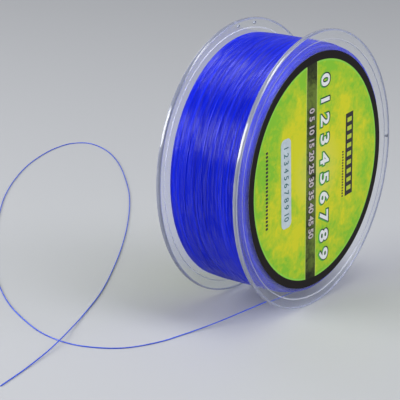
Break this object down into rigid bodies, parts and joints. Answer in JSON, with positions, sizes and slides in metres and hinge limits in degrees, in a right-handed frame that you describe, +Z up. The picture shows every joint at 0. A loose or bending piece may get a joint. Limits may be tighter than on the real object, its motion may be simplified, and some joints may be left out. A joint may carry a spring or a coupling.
{
  "type": "fishing line spool",
  "caption": "Clear plastic spool wound with monofilament fishing line, with a round paper label on each side and a stretch of line lying loose beside it.",
  "frame": {"origin": "on the spool's axis, half way between the outer faces of the two flanges", "axes": "+Y along the spool's axis, from the printed side to the plain side; +Z up as the spool stands on its rims"},
  "size_m": [0.2788, 0.2402, 0.115],
  "materials": {
    "clear_plastic": "clear moulded polystyrene, polished",
    "label_paper": "printed, satin",
    "sticker_paper": "printed, matt",
    "tape": "clear adhesive tape, yellowish",
    "wound_line": "glossy translucent nylon",
    "loose_line": "glossy translucent nylon"
  },
  "bodies": {
    "root": {"printed_side_half": "clear_plastic", "plain_side_half": "clear_plastic", "printed_label": "label_paper", "size_sticker": "sticker_paper", "plain_side_label": "label_paper", "line_end_tape": "tape", "line_pack": "wound_line", "line_outer_layer": "wound_line", "free_line": "loose_line"}
  },
  "joints": []
}
